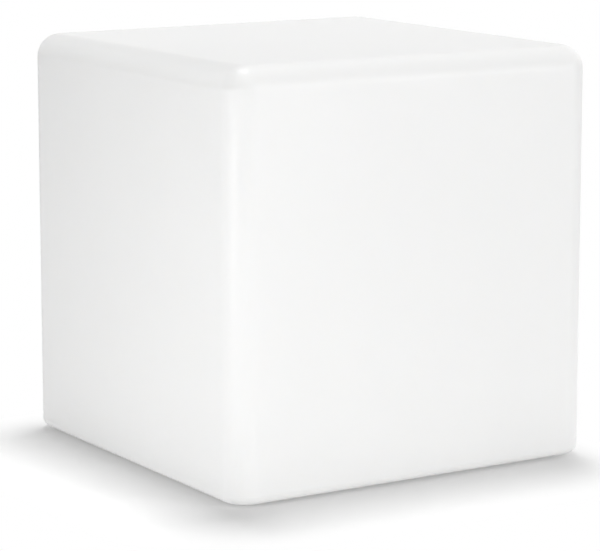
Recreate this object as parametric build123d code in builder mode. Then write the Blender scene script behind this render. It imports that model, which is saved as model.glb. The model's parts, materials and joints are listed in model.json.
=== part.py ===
from build123d import *
import os
from math import cos, hypot, pi, radians, sin, tan

# Cube garden light. A hollow moulded body stands on four rubber feet, and its lamp carrier twists out from
# below. Millimetres, +Z up. The origin is on the ground under the middle of the cube. The supply cable
# leaves at +Y, and -Y is the front.

# Moulded body
cube_side = 400.0
upright_radius = 25.0
top_radius = 23.0
bottom_radius = 9.0
wall = 4.0
foot_proud = 3.0

# Round recess and cable groove under the body
recess_depth = 24.0
recess_draft = 3.0
lip_radius = 5.0
recess_corner_radius = 6.0
groove_width = 12.0
groove_depth = 10.0
groove_lip_radius = 2.0

# Feet
foot_radius = 14.0
foot_thickness = 7.0
foot_edge_bevel = 1.5
foot_inset = 48.0
foot_clearance = 0.3
head_sink = 0.4

# Screws of the body: M5 with pan heads, in moulded-in brass inserts
m5_radius = 2.5
m5_head_radius = 4.75
m5_head_height = 3.1
insert_radius = 4.5
insert_length = 10.0
thread_gap = 0.1
hole_gap = 0.25
thread_engagement = 8.0

# Small screws: M4 for the bracket and lampholder, M3 for the terminals
m4_radius = 2.0
m4_head_radius = 3.8
m4_head_height = 2.6
m4_nut_flats = 7.0
m4_nut_height = 3.2
m3_radius = 1.5
m3_head_radius = 2.7
m3_head_height = 1.8
nut_reach = 2.5

# Bayonet: lugs on the carrier ride on sloping ledges of the lock ring
bayonet_count = 3
release_turn = 60.0
release_drop = 2.4
lug_span = 34.0
ledge_lead_in = 12.0
stop_span = 4.5
stop_slack = 0.5
ledge_width = 4.0
ledge_thickness = 3.0
ledge_rise = 11.0
lug_thickness = 3.5
lug_gap = 0.3
turn_clearance = 0.6
collar_wall = 3.5
collar_height = 24.0
ring_thickness = 4.0
ring_screw_count = 6
gasket_thickness = 2.0
body_clearance = 1.0
ring_margin = 1.5
root_overlap = 0.2

# Seal between the carrier and the ring
seal_thickness = 2.5
seal_width = 5.8
seal_sink = 1.0
seal_edge_gap = 0.2
seal_shoulder = 1.2

# Lamp carrier
cap_thickness = 4.0
cap_edge_bevel = 1.0
skirt_wall = 3.5
skirt_height = 22.5
bracket_clearance = 1.5
rib_thickness = 2.5
rib_height = 6.0
rib_angles = (55.0, 125.0, 235.0, 305.0)
well_width = 20.0
well_depth = 18.0
well_wall = 3.5
well_half_angle = 30.0
well_rim_gap = 5.0
pocket_wall = 4.0
pocket_bevel = 1.5
pocket_y = 12.0
spanner_room = 6.3
boss_radius = 5.0
boss_height = 4.5
boss_floor = 1.0
screw_end_gap = 0.5

# Cable gland, M16
gland_thread_radius = 8.0
gland_thread_length = 13.5
gland_flats = 22.0
gland_hex_height = 5.0
gland_spigot_radius = 9.0
gland_spigot_length = 8.5
gland_bore_radius = 5.2
gland_washer_thickness = 1.5
gland_washer_radius = 11.0
gland_seal_radius = 6.95
gland_seal_length = 13.0
cable_hole_radius = 3.4
gland_nut_gap = 1.0
gland_setback = 6.0
gland_nut_length = 17.0
gland_nut_mouth = 5.5
gland_nut_face = 1.0
gland_dome_height = 9.4
gland_part_gap = 0.15
locknut_flats = 20.0
locknut_height = 4.5

# Bracket bent from steel strip
strip_thickness = 2.0
strip_width = 30.0
bend_radius = 2.0
bracket_height = 42.0
bracket_foot = 14.0
bracket_corner = 4.0
leg_gap = 5.0
bracket_hole_radius = 10.0
grommet_wall = 1.8
grommet_lip = 2.0
grommet_lip_thickness = 1.5

# Lampholder, E27
holder_radius = 20.0
holder_height = 52.0
holder_flange_thickness = 4.0
holder_flange_width = 16.0
holder_screw_gap = 0.2
holder_cavity_radius = 14.5
holder_cavity_depth = 12.0
holder_web = 4.0
holder_mouth_radius = 16.8
holder_mouth_depth = 10.0
holder_edge_bevel = 1.0
screw_shell_bore = 13.35
screw_shell_wall = 0.4
screw_shell_height = 24.0
screw_shell_floor = 0.5
screw_shell_inlet = 10.8
shell_clearance = 0.45
contact_thickness = 0.6
contact_width = 6.0
contact_lift = 2.4
contact_reach = 4.5
contact_margin = 0.5
rivet_radius = 1.5
rivet_head_radius = 2.4
rivet_head_height = 0.8
terminal_x = 6.5
terminal_block_size = (8.0, 7.0, 8.0)
clamp_screw_proud = 1.0
holder_seal_height = 3.0
holder_seal_skirt = 4.0
holder_seal_wall = 0.8
neck_clearance = 0.3

# Lamp with an E27 cap
lamp_cap_radius = 13.0
lamp_cap_wall = 0.35
lamp_cap_height = 21.5
lamp_collar_radius = 13.9
lamp_collar_height = 4.0
lamp_collar_slope = 1.6
tip_radius = 5.0
tip_height = 1.5
tip_edge_bevel = 1.0
tip_gap = 0.3
insulator_height = 3.7
insulator_rim = 0.8
insulator_spigot = 1.0
neck_radius = 14.3
neck_margin = 1.0
flare_height = 28.0
globe_radius = 30.0
globe_wall = 1.2
globe_rise = 13.0
housing_wall = 1.6
spigot_gap = 0.1
board_radius = 22.0
board_thickness = 1.6
board_ledge = 2.0
board_gap = 0.2
diode_count = 8
diode_circle = 13.2
diode_size = (3.5, 2.8, 0.8)

# Supply terminal block and inner leads
block_size = (20.0, 18.0, 13.0)
block_y = -27.0
block_pad = 3.0
block_corner = 1.0
pole_spread = 9.0
pole_height = 6.5
tube_length = 14.0
tube_radius = 2.4
tube_bore = 0.9
funnel_radius = 2.0
lead_radius = 1.3
conductor_radius = 0.7
conductor_length = 5.0

# Heights that follow
body_bottom = foot_proud
ceiling_z = body_bottom + recess_depth
ring_top = ceiling_z - gasket_thickness
ring_bottom = ring_top - ring_thickness
cap_top = ring_bottom - (seal_thickness - seal_sink)
cap_bottom = cap_top - cap_thickness
boss_top = cap_top + boss_height

# Gland stack, from the pocket's roof down
pocket_inner = gland_flats / 2 / cos(pi / 6) + spanner_room
pocket_outer = pocket_inner + pocket_wall
gland_nut_bottom = cap_bottom + gland_setback
gland_nut_top = gland_nut_bottom + gland_nut_length
hex_bottom = gland_nut_top + gland_nut_gap
hex_top = hex_bottom + gland_hex_height
pocket_roof = hex_top + gland_washer_thickness
pocket_top = pocket_roof + pocket_wall
gland_seal_bottom = hex_bottom - gland_spigot_length

# Bracket and lampholder heights
bracket_base = boss_top
bracket_top = bracket_base + bracket_height
holder_base = bracket_top
web_bottom = holder_base + holder_cavity_depth
web_top = web_bottom + holder_web
holder_top = holder_base + holder_height
holder_screw_y = holder_radius + holder_screw_gap + m4_head_radius
terminal_bottom = web_bottom - terminal_block_size[2]
contact_top = web_top + contact_thickness + contact_lift

# Lamp heights
tip_bottom = contact_top + tip_gap
tip_top = tip_bottom + tip_height
cap_shell_bottom = tip_top + insulator_height
cap_shell_top = cap_shell_bottom + lamp_cap_height
neck_top = holder_top + holder_seal_height + neck_margin
flare_top = neck_top + flare_height
globe_centre_z = flare_top + globe_rise
globe_foot_radius = (globe_radius**2 - globe_rise**2) ** 0.5
board_bottom = flare_top - board_ledge

# Plan sizes that follow, from the inside out
leg_inner = pocket_y + pocket_outer + leg_gap
leg_outer = leg_inner + strip_thickness
foot_end = leg_outer + bracket_foot
bracket_screw_y = leg_outer + bracket_foot / 2
skirt_inner = hypot(strip_width / 2, foot_end) + bracket_clearance
skirt_radius = skirt_inner + skirt_wall
ledge_inner = skirt_radius + turn_clearance
collar_inner = ledge_inner + ledge_width
collar_outer = collar_inner + collar_wall
lug_outer = collar_inner - turn_clearance
hole_radius = collar_outer + body_clearance
insert_boss_radius = insert_radius + wall
ring_screw_circle = hole_radius + insert_boss_radius + ring_margin
ring_radius = ring_screw_circle + insert_boss_radius + ring_margin / 2
seal_inner = collar_inner + seal_shoulder
seal_outer = seal_inner + seal_width
cap_radius = seal_outer + seal_edge_gap + seal_shoulder
recess_radius = ring_radius + ring_margin + recess_corner_radius
mouth_radius = recess_radius + recess_depth * tan(radians(recess_draft))
well_circle = skirt_inner - well_rim_gap - well_wall - well_width / 2
foot_spot = cube_side / 2 - foot_inset
dimple_radius = foot_radius + foot_clearance
dimple_depth = foot_thickness - foot_proud
insert_bore = m5_radius + thread_gap

foot_spots = [(x * foot_spot, y * foot_spot) for x, y in ((-1, -1), (1, -1), (-1, 1), (1, 1))]
ring_angles = [2 * pi * i / ring_screw_count for i in range(ring_screw_count)]
ring_spots = [(ring_screw_circle * cos(angle), ring_screw_circle * sin(angle)) for angle in ring_angles]
bracket_spots = [(0, -bracket_screw_y), (0, bracket_screw_y)]
holder_spots = [(0, -holder_screw_y), (0, holder_screw_y)]
pole_rows = (block_y - pole_spread / 2, block_y + pole_spread / 2)
well_sides = (0, 180)

os.makedirs("parts", exist_ok=True)


def rounded_cube(inset):
    """The cube's outside, drawn in by inset on every side."""
    side = cube_side - 2 * inset
    with BuildPart() as block:
        with BuildSketch(Plane.XY.offset(body_bottom + inset)):
            RectangleRounded(side, side, upright_radius - inset)
        extrude(amount=side)
        fillet(block.faces().sort_by(Axis.Z)[-1].edges(), top_radius - inset)
        fillet(block.faces().sort_by(Axis.Z)[0].edges(), bottom_radius - inset)
    return block.part


def recess_form(grow):
    """The round recess and its cable groove, grown by grow on every side; the lip is rounded only ungrown."""
    floor = body_bottom + grow
    below = floor - 2 * lip_radius
    mouth = mouth_radius + grow
    with BuildPart() as form:
        with BuildSketch(Plane.XZ) as section:
            with BuildLine():
                Polyline(
                    (0, below),
                    (mouth + 2 * lip_radius, below),
                    (mouth + 2 * lip_radius, floor),
                    (mouth, floor),
                    (recess_radius + grow, ceiling_z + grow),
                    (0, ceiling_z + grow),
                    close=True,
                )
            make_face()
            corner = section.vertices().group_by(Axis.X)[1]
            if grow:
                chamfer(corner, recess_corner_radius)
            else:
                fillet(corner, recess_corner_radius)
                fillet(section.vertices().sort_by_distance((mouth, floor))[0], lip_radius)
        revolve(axis=Axis.Z)
        half = groove_width / 2 + grow
        centre_z = body_bottom + groove_depth - groove_width / 2
        lip = groove_lip_radius - grow
        with BuildSketch(Plane.XZ):
            with Locations((0, (below + centre_z) / 2)):
                Rectangle(2 * half, centre_z - below)
            with Locations((0, centre_z)):
                Circle(half)
            if lip > 0:
                with Locations((0, floor + lip / 2)):
                    Rectangle(2 * (half + lip), lip)
                with Locations((half + lip, floor + lip), (-half - lip, floor + lip)):
                    Circle(lip, mode=Mode.SUBTRACT)
        extrude(amount=-cube_side)
    return form.part


def pan_screws(spots, seat_z, radius, length, head_radius, head_height, way=1):
    """Screws with a bevelled head that bears at seat_z; the shanks run up for way 1 and down for way -1."""
    slot = head_radius * 0.3
    with BuildPart() as screws:
        with BuildSketch(Plane.XY.offset(seat_z)):
            with Locations(*spots):
                Circle(head_radius)
        extrude(amount=-way * head_height)
        crown = screws.edges().group_by(Axis.Z)[0 if way > 0 else -1]
        chamfer(crown, head_height * 0.35)
        with BuildSketch(Plane.XY.offset(seat_z)):
            with Locations(*spots):
                Circle(radius)
        extrude(amount=way * length)
        with BuildSketch(Plane.XY.offset(seat_z - way * head_height)):
            with Locations(*spots):
                Rectangle(head_radius, slot)
                Rectangle(slot, head_radius)
        extrude(amount=way * head_height * 0.6, mode=Mode.SUBTRACT)
    return screws.part


def arc_strip(inner, outer, start, span):
    """A flat strip between two radii, from the angle start over span degrees."""
    with BuildSketch() as strip:
        with BuildLine():
            far = CenterArc((0, 0), outer, start, span)
            near = CenterArc((0, 0), inner, start, span)
            Line(far @ 0, near @ 0)
            Line(far @ 1, near @ 1)
        make_face()
    return strip.sketch


def helical_band(inner, outer, base_z, thickness, start, span):
    """A band that climbs counterclockwise at the bayonet's slope; base_z is its height at angle 0."""
    lead = release_drop * 360 / release_turn
    with BuildPart() as band:
        with BuildLine():
            Helix(pitch=lead, height=lead * span / 360, radius=(inner + outer) / 2)
        with BuildSketch(Plane.XZ):
            with Locations(((inner + outer) / 2, thickness / 2)):
                Rectangle(outer - inner, thickness)
        sweep(is_frenet=True)
    return band.part.rotate(Axis.Z, start).translate((0, 0, base_z + lead * start / 360))


def well_line(side):
    """The middle line of a finger well, an arc about the carrier's axis with its middle at the angle side."""
    return CenterArc((0, 0), well_circle, side - well_half_angle, 2 * well_half_angle, mode=Mode.PRIVATE)


# Body: the cavity follows the outside at one wall thickness, with solid bosses round the brass inserts
with BuildPart() as foot_bosses:
    with BuildSketch(Plane.XY.offset(body_bottom)):
        with Locations(*foot_spots):
            Circle(dimple_radius + wall)
    extrude(amount=dimple_depth + wall)
    chamfer(foot_bosses.edges().group_by(Axis.Z)[-1], wall / 3)
    with BuildSketch(Plane.XY.offset(body_bottom)):
        with Locations(*foot_spots):
            Circle(insert_boss_radius)
    extrude(amount=dimple_depth + insert_length + wall)
    chamfer(foot_bosses.edges().group_by(Axis.Z)[-1], wall / 3)

with BuildPart() as ring_bosses:
    with BuildSketch(Plane.XY.offset(ceiling_z)):
        with Locations(*ring_spots):
            Circle(insert_boss_radius)
    extrude(amount=insert_length + wall)
    chamfer(ring_bosses.edges().group_by(Axis.Z)[-1], wall / 3)

with BuildPart() as cavity:
    add(rounded_cube(wall))
    add(recess_form(wall), mode=Mode.SUBTRACT)
    add(foot_bosses.part, mode=Mode.SUBTRACT)
    add(ring_bosses.part, mode=Mode.SUBTRACT)

with BuildPart() as diffuser_shell:
    add(rounded_cube(0))
    add(recess_form(0), mode=Mode.SUBTRACT)
    add(cavity.part, mode=Mode.SUBTRACT)
    with BuildSketch(Plane.XY.offset(ceiling_z)):
        Circle(hole_radius)
    extrude(amount=2 * wall, mode=Mode.SUBTRACT)
    with BuildSketch(Plane.XY.offset(body_bottom)):
        with Locations(*foot_spots):
            Circle(dimple_radius)
    extrude(amount=dimple_depth, mode=Mode.SUBTRACT)
    with BuildSketch(Plane.XY.offset(body_bottom + dimple_depth)):
        with Locations(*foot_spots):
            Circle(insert_radius)
    extrude(amount=insert_length, mode=Mode.SUBTRACT)
    with BuildSketch(Plane.XY.offset(ceiling_z)):
        with Locations(*ring_spots):
            Circle(insert_radius)
    extrude(amount=insert_length, mode=Mode.SUBTRACT)
diffuser_shell.part.label = "diffuser_shell"
export_step(diffuser_shell.part, "parts/diffuser_shell.step")

# Feet: rubber discs in dimples, each held by a screw whose head is sunk in a counterbore
counterbore_depth = m5_head_height + head_sink
for corner, spot in zip(("front_left", "front_right", "back_left", "back_right"), foot_spots):
    with BuildPart() as foot:
        with BuildSketch():
            with Locations(spot):
                Circle(foot_radius)
                Circle(m5_radius + hole_gap, mode=Mode.SUBTRACT)
        extrude(amount=foot_thickness)
        with BuildSketch():
            with Locations(spot):
                Circle(m5_head_radius + hole_gap)
        extrude(amount=counterbore_depth, mode=Mode.SUBTRACT)
        rim = foot.edges().filter_by(GeomType.CIRCLE).group_by(Axis.Z)[0].sort_by(SortBy.RADIUS)[-1]
        chamfer(rim, foot_edge_bevel)
    foot.part.label = "foot_" + corner
    export_step(foot.part, f"parts/foot_{corner}.step")

with BuildPart() as foot_screws:
    screw_length = foot_thickness - counterbore_depth + thread_engagement
    add(pan_screws(foot_spots, counterbore_depth, m5_radius, screw_length, m5_head_radius, m5_head_height))
foot_screws.part.label = "foot_screws"
export_step(foot_screws.part, "parts/foot_screws.step")

with BuildPart() as foot_inserts:
    with BuildSketch(Plane.XY.offset(body_bottom + dimple_depth)):
        with Locations(*foot_spots):
            Circle(insert_radius)
            Circle(insert_bore, mode=Mode.SUBTRACT)
    extrude(amount=insert_length)
foot_inserts.part.label = "foot_inserts"
export_step(foot_inserts.part, "parts/foot_inserts.step")

# Lock ring: a flange under the recess ceiling and a collar with three sloping ledges and their stops
stop_start = lug_span / 2 + stop_slack
ledge_start = -lug_span / 2 - ledge_lead_in
ledge_span = stop_start + stop_span - ledge_start
ledge_z = ring_bottom + ledge_rise
ledge_root = collar_inner + root_overlap
release_stop = -release_turn - stop_start - stop_span
with BuildPart() as lock_ring:
    with BuildSketch(Plane.XY.offset(ring_bottom)):
        Circle(ring_radius)
        Circle(collar_inner, mode=Mode.SUBTRACT)
        with Locations(*ring_spots):
            Circle(m5_radius + hole_gap, mode=Mode.SUBTRACT)
    extrude(amount=ring_thickness)
    with BuildSketch(Plane.XY.offset(ring_bottom)):
        Circle(collar_outer)
        Circle(collar_inner, mode=Mode.SUBTRACT)
    extrude(amount=collar_height)
    for i in range(bayonet_count):
        turn = 360 / bayonet_count * i
        ledge = helical_band(ledge_inner, ledge_root, ledge_z, ledge_thickness, ledge_start, ledge_span)
        add(ledge.rotate(Axis.Z, turn))
        with BuildSketch(Plane.XY.offset(ledge_z)):
            add(arc_strip(ledge_inner, ledge_root, stop_start + turn, stop_span))
            add(arc_strip(ledge_inner, ledge_root, release_stop + turn, stop_span))
        extrude(amount=ring_bottom + collar_height - ledge_z)
lock_ring.part.label = "lock_ring"
export_step(lock_ring.part, "parts/lock_ring.step")

with BuildPart() as ring_gasket:
    with BuildSketch(Plane.XY.offset(ring_top)):
        Circle(ring_radius)
        Circle(hole_radius, mode=Mode.SUBTRACT)
        with Locations(*ring_spots):
            Circle(m5_radius + hole_gap, mode=Mode.SUBTRACT)
    extrude(amount=gasket_thickness)
ring_gasket.part.label = "ring_gasket"
export_step(ring_gasket.part, "parts/ring_gasket.step")

with BuildPart() as ring_screws:
    screw_length = ring_thickness + gasket_thickness + thread_engagement
    add(pan_screws(ring_spots, ring_bottom, m5_radius, screw_length, m5_head_radius, m5_head_height))
ring_screws.part.label = "ring_screws"
export_step(ring_screws.part, "parts/ring_screws.step")

with BuildPart() as ring_inserts:
    with BuildSketch(Plane.XY.offset(ceiling_z)):
        with Locations(*ring_spots):
            Circle(insert_radius)
            Circle(insert_bore, mode=Mode.SUBTRACT)
    extrude(amount=insert_length)
ring_inserts.part.label = "ring_inserts"
export_step(ring_inserts.part, "parts/ring_inserts.step")

# Lamp carrier: a tray with bayonet lugs, two finger wells, and a deep pocket for the cable gland
with BuildPart() as base_cap:
    with BuildSketch(Plane.XY.offset(cap_bottom)):
        Circle(cap_radius)
    extrude(amount=cap_thickness)
    chamfer(base_cap.edges().group_by(Axis.Z)[0], cap_edge_bevel)
    with BuildSketch(Plane.XY.offset(cap_top)):
        Circle(seal_outer + seal_edge_gap)
        Circle(seal_inner - seal_edge_gap, mode=Mode.SUBTRACT)
    extrude(amount=-seal_sink, mode=Mode.SUBTRACT)
    with BuildSketch(Plane.XY.offset(cap_top)):
        Circle(skirt_radius)
        Circle(skirt_inner, mode=Mode.SUBTRACT)
    extrude(amount=skirt_height)
    with BuildSketch(Plane.XY.offset(cap_top)):
        rib_length = skirt_inner + root_overlap
        for angle in rib_angles:
            Rectangle(rib_length, rib_thickness, rotation=angle, align=(Align.MIN, Align.CENTER))
    extrude(amount=rib_height)
    with BuildSketch(Plane.XY.offset(cap_bottom)):
        with Locations((0, pocket_y)):
            Circle(pocket_outer)
    extrude(amount=pocket_top - cap_bottom)
    chamfer(base_cap.edges().filter_by(GeomType.CIRCLE).group_by(Axis.Z)[-1], pocket_bevel)
    with BuildSketch(Plane.XY.offset(cap_bottom)):
        for side in well_sides:
            SlotArc(well_line(side), well_width + 2 * well_wall)
    extrude(amount=well_depth + well_wall)
    with BuildSketch(Plane.XY.offset(cap_top)):
        with Locations(*bracket_spots):
            Circle(boss_radius)
    extrude(amount=boss_height)
    with BuildSketch(Plane.XY.offset(cap_top)):
        with Locations((0, block_y)):
            RectangleRounded(block_size[0], block_size[1], block_corner)
    extrude(amount=block_pad)
    with BuildSketch(Plane.XY.offset(cap_bottom)):
        with Locations((0, pocket_y)):
            Circle(pocket_inner)
    extrude(amount=pocket_roof - cap_bottom, mode=Mode.SUBTRACT)
    with BuildSketch(Plane.XY.offset(pocket_roof)):
        with Locations((0, pocket_y)):
            Circle(gland_thread_radius + gland_part_gap)
    extrude(amount=pocket_wall, mode=Mode.SUBTRACT)
    with BuildSketch(Plane.XY.offset(cap_bottom)):
        for side in well_sides:
            SlotArc(well_line(side), well_width)
    extrude(amount=well_depth, mode=Mode.SUBTRACT)
    with BuildSketch(Plane.XY.offset(cap_bottom + boss_floor)):
        with Locations(*bracket_spots):
            Circle(m4_radius + thread_gap)
    extrude(amount=boss_top - cap_bottom, mode=Mode.SUBTRACT)
    with BuildSketch(Plane.XY.offset(cap_bottom + boss_floor)):
        with Locations((0, block_y)):
            Circle(m3_radius + thread_gap)
    extrude(amount=cap_thickness + block_pad, mode=Mode.SUBTRACT)
    lug_z = ledge_z + ledge_thickness + lug_gap
    lug_root = skirt_radius - root_overlap
    for i in range(bayonet_count):
        lug = helical_band(lug_root, lug_outer, lug_z, lug_thickness, -lug_span / 2, lug_span)
        add(lug.rotate(Axis.Z, 360 / bayonet_count * i))
    mouths = base_cap.faces().filter_by(Plane.XY).sort_by(Axis.Z)[0].inner_wires().edges()
    chamfer(mouths, cap_edge_bevel)
base_cap.part.label = "base_cap"
export_step(base_cap.part, "parts/base_cap.step")

with BuildPart() as cap_seal:
    with BuildSketch(Plane.XY.offset(ring_bottom)):
        Circle(seal_outer)
        Circle(seal_inner, mode=Mode.SUBTRACT)
    extrude(amount=-seal_thickness)
cap_seal.part.label = "cap_seal"
export_step(cap_seal.part, "parts/cap_seal.step")

# Cable gland, hung in the pocket with its mouth down
with BuildPart() as gland_body:
    with BuildSketch(Plane.XY.offset(hex_bottom)):
        with Locations((0, pocket_y)):
            RegularPolygon(gland_flats / 2, 6, major_radius=False)
    extrude(amount=gland_hex_height)
    with BuildSketch(Plane.XY.offset(hex_top)):
        with Locations((0, pocket_y)):
            Circle(gland_thread_radius)
    extrude(amount=gland_thread_length)
    with BuildSketch(Plane.XY.offset(hex_bottom)):
        with Locations((0, pocket_y)):
            Circle(gland_spigot_radius)
    extrude(amount=-gland_spigot_length)
    with BuildSketch(Plane.XY.offset(gland_seal_bottom)):
        with Locations((0, pocket_y)):
            Circle(gland_bore_radius)
    extrude(amount=hex_top + gland_thread_length - gland_seal_bottom, mode=Mode.SUBTRACT)
    with BuildSketch(Plane.XY.offset(gland_seal_bottom)):
        with Locations((0, pocket_y)):
            Circle(gland_seal_radius + gland_part_gap)
    extrude(amount=gland_seal_length, mode=Mode.SUBTRACT)
gland_body.part.label = "gland_body"
export_step(gland_body.part, "parts/gland_body.step")

with BuildPart() as gland_washer:
    with BuildSketch(Plane.XY.offset(hex_top)):
        with Locations((0, pocket_y)):
            Circle(gland_washer_radius)
            Circle(gland_thread_radius + gland_part_gap, mode=Mode.SUBTRACT)
    extrude(amount=gland_washer_thickness)
gland_washer.part.label = "gland_washer"
export_step(gland_washer.part, "parts/gland_washer.step")

with BuildPart() as gland_seal:
    with BuildSketch(Plane.XY.offset(gland_seal_bottom)):
        with Locations((0, pocket_y)):
            Circle(gland_seal_radius)
            Circle(cable_hole_radius, mode=Mode.SUBTRACT)
    extrude(amount=gland_seal_length)
gland_seal.part.label = "gland_seal"
export_step(gland_seal.part, "parts/gland_seal.step")

with BuildPart() as gland_nut:
    with BuildSketch(Plane.XY.offset(gland_nut_bottom)):
        with Locations((0, pocket_y)):
            RegularPolygon(gland_flats / 2, 6, major_radius=False)
    extrude(amount=gland_nut_length)
    with BuildSketch(Plane(origin=(0, pocket_y, 0), x_dir=(1, 0, 0), z_dir=(0, -1, 0))):
        with BuildLine():
            shoulder = gland_flats / 2 / cos(pi / 6)
            face_radius = gland_nut_mouth + gland_nut_face
            dome_top = gland_nut_bottom + gland_dome_height
            dome = EllipticalCenterArc(
                (face_radius, dome_top),
                shoulder - face_radius,
                gland_dome_height,
                start_angle=270,
                arc_size=90,
            )
            Polyline(dome @ 1, (shoulder, gland_nut_top), (0, gland_nut_top), (0, gland_nut_bottom), dome @ 0)
        make_face()
    revolve(axis=Axis((0, pocket_y, 0), (0, 0, 1)), mode=Mode.INTERSECT)
    with BuildSketch(Plane.XY.offset(gland_nut_top)):
        with Locations((0, pocket_y)):
            Circle(gland_spigot_radius + gland_part_gap)
    extrude(amount=gland_seal_bottom - gland_nut_top, mode=Mode.SUBTRACT)
    with BuildSketch(Plane.XY.offset(gland_nut_top)):
        with Locations((0, pocket_y)):
            Circle(gland_nut_mouth)
    extrude(amount=-gland_nut_length, mode=Mode.SUBTRACT)
gland_nut.part.label = "gland_nut"
export_step(gland_nut.part, "parts/gland_nut.step")

with BuildPart() as gland_locknut:
    with BuildSketch(Plane.XY.offset(pocket_top)):
        with Locations((0, pocket_y)):
            RegularPolygon(locknut_flats / 2, 6, major_radius=False)
            Circle(gland_thread_radius + gland_part_gap, mode=Mode.SUBTRACT)
    extrude(amount=locknut_height)
gland_locknut.part.label = "gland_locknut"
export_step(gland_locknut.part, "parts/gland_locknut.step")

# Bracket: one steel strip bent over the gland pocket, with the lampholder on top
with BuildPart() as bracket:
    with BuildSketch(Plane.YZ) as profile:
        with BuildLine():
            Polyline(
                (-foot_end, bracket_base),
                (-leg_inner, bracket_base),
                (-leg_inner, bracket_top - strip_thickness),
                (leg_inner, bracket_top - strip_thickness),
                (leg_inner, bracket_base),
                (foot_end, bracket_base),
                (foot_end, bracket_base + strip_thickness),
                (leg_outer, bracket_base + strip_thickness),
                (leg_outer, bracket_top),
                (-leg_outer, bracket_top),
                (-leg_outer, bracket_base + strip_thickness),
                (-foot_end, bracket_base + strip_thickness),
                close=True,
            )
        make_face()
        for y, z, radius in (
            (leg_inner, bracket_base, bend_radius + strip_thickness),
            (leg_outer, bracket_base + strip_thickness, bend_radius),
            (leg_inner, bracket_top - strip_thickness, bend_radius),
            (leg_outer, bracket_top, bend_radius + strip_thickness),
        ):
            for side in (-y, y):
                fillet(profile.vertices().sort_by_distance((side, z))[0], radius)
    extrude(amount=strip_width / 2, both=True)
    ends = bracket.edges().filter_by(Axis.Z).group_by(Axis.Y)
    fillet(ends[0] + ends[-1], bracket_corner)
    with BuildSketch(Plane.XY.offset(bracket_base)):
        with Locations(*bracket_spots):
            Circle(m4_radius + hole_gap)
    extrude(amount=strip_thickness, mode=Mode.SUBTRACT)
    with BuildSketch(Plane.XY.offset(bracket_top)):
        Circle(bracket_hole_radius)
        with Locations(*holder_spots):
            Circle(m4_radius + hole_gap)
    extrude(amount=-strip_thickness, mode=Mode.SUBTRACT)
bracket.part.label = "bracket"
export_step(bracket.part, "parts/bracket.step")

with BuildPart() as bracket_screws:
    seat = bracket_base + strip_thickness
    reach = seat - cap_bottom - boss_floor - screw_end_gap
    add(pan_screws(bracket_spots, seat, m4_radius, reach, m4_head_radius, m4_head_height, way=-1))
bracket_screws.part.label = "bracket_screws"
export_step(bracket_screws.part, "parts/bracket_screws.step")

with BuildPart() as bracket_grommet:
    with BuildSketch(Plane.XY.offset(bracket_top - strip_thickness)):
        Circle(bracket_hole_radius)
    extrude(amount=strip_thickness)
    for lip_bottom in (bracket_top - strip_thickness - grommet_lip_thickness, bracket_top):
        with BuildSketch(Plane.XY.offset(lip_bottom)):
            Circle(bracket_hole_radius + grommet_lip)
        extrude(amount=grommet_lip_thickness)
    with BuildSketch(Plane.XY.offset(bracket_top - strip_thickness - grommet_lip_thickness)):
        Circle(bracket_hole_radius - grommet_wall)
    extrude(amount=strip_thickness + 2 * grommet_lip_thickness, mode=Mode.SUBTRACT)
bracket_grommet.part.label = "bracket_grommet"
export_step(bracket_grommet.part, "parts/bracket_grommet.step")

# Lampholder: a moulded body with the screw shell above its web and the wire terminals below it
shell_outer = screw_shell_bore + screw_shell_wall
mouth_floor = holder_top - holder_mouth_depth
with BuildPart() as holder_body:
    with BuildSketch(Plane.XY.offset(holder_base)):
        Circle(holder_radius)
        SlotCenterToCenter(2 * holder_screw_y, holder_flange_width, rotation=90)
    extrude(amount=holder_flange_thickness)
    with BuildSketch(Plane.XY.offset(holder_base)):
        Circle(holder_radius)
    extrude(amount=holder_height)
    chamfer(holder_body.edges().group_by(Axis.Z)[-1], holder_edge_bevel)
    with BuildSketch(Plane.XY.offset(holder_base)):
        Circle(holder_cavity_radius)
    extrude(amount=holder_cavity_depth, mode=Mode.SUBTRACT)
    with BuildSketch(Plane.XY.offset(web_top)):
        Circle(shell_outer + shell_clearance)
    extrude(amount=holder_top - web_top, mode=Mode.SUBTRACT)
    with BuildSketch(Plane.XY.offset(mouth_floor)):
        Circle(holder_mouth_radius)
    extrude(amount=holder_mouth_depth, mode=Mode.SUBTRACT)
    with BuildSketch(Plane.XY.offset(web_bottom)):
        with Locations((-terminal_x, 0), (terminal_x, 0)):
            Circle(rivet_radius + thread_gap)
    extrude(amount=holder_web, mode=Mode.SUBTRACT)
    with BuildSketch(Plane.XY.offset(holder_base)):
        with Locations(*holder_spots):
            Circle(m4_radius + hole_gap)
    extrude(amount=holder_flange_thickness, mode=Mode.SUBTRACT)
    with BuildSketch(Plane.YZ.offset(-holder_radius)):
        with Locations((0, web_bottom - terminal_block_size[2] / 2)):
            Circle(m3_head_radius)
    extrude(amount=2 * holder_radius, mode=Mode.SUBTRACT)
holder_body.part.label = "holder_body"
export_step(holder_body.part, "parts/holder_body.step")

with BuildPart() as holder_screws:
    seat = holder_base + holder_flange_thickness
    reach = holder_flange_thickness + strip_thickness + m4_nut_height + nut_reach
    add(pan_screws(holder_spots, seat, m4_radius, reach, m4_head_radius, m4_head_height, way=-1))
holder_screws.part.label = "holder_screws"
export_step(holder_screws.part, "parts/holder_screws.step")

with BuildPart() as holder_nuts:
    with BuildSketch(Plane.XY.offset(bracket_top - strip_thickness)):
        with Locations(*holder_spots):
            RegularPolygon(m4_nut_flats / 2, 6, major_radius=False)
            Circle(m4_radius + thread_gap, mode=Mode.SUBTRACT)
    extrude(amount=-m4_nut_height)
holder_nuts.part.label = "holder_nuts"
export_step(holder_nuts.part, "parts/holder_nuts.step")

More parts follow.
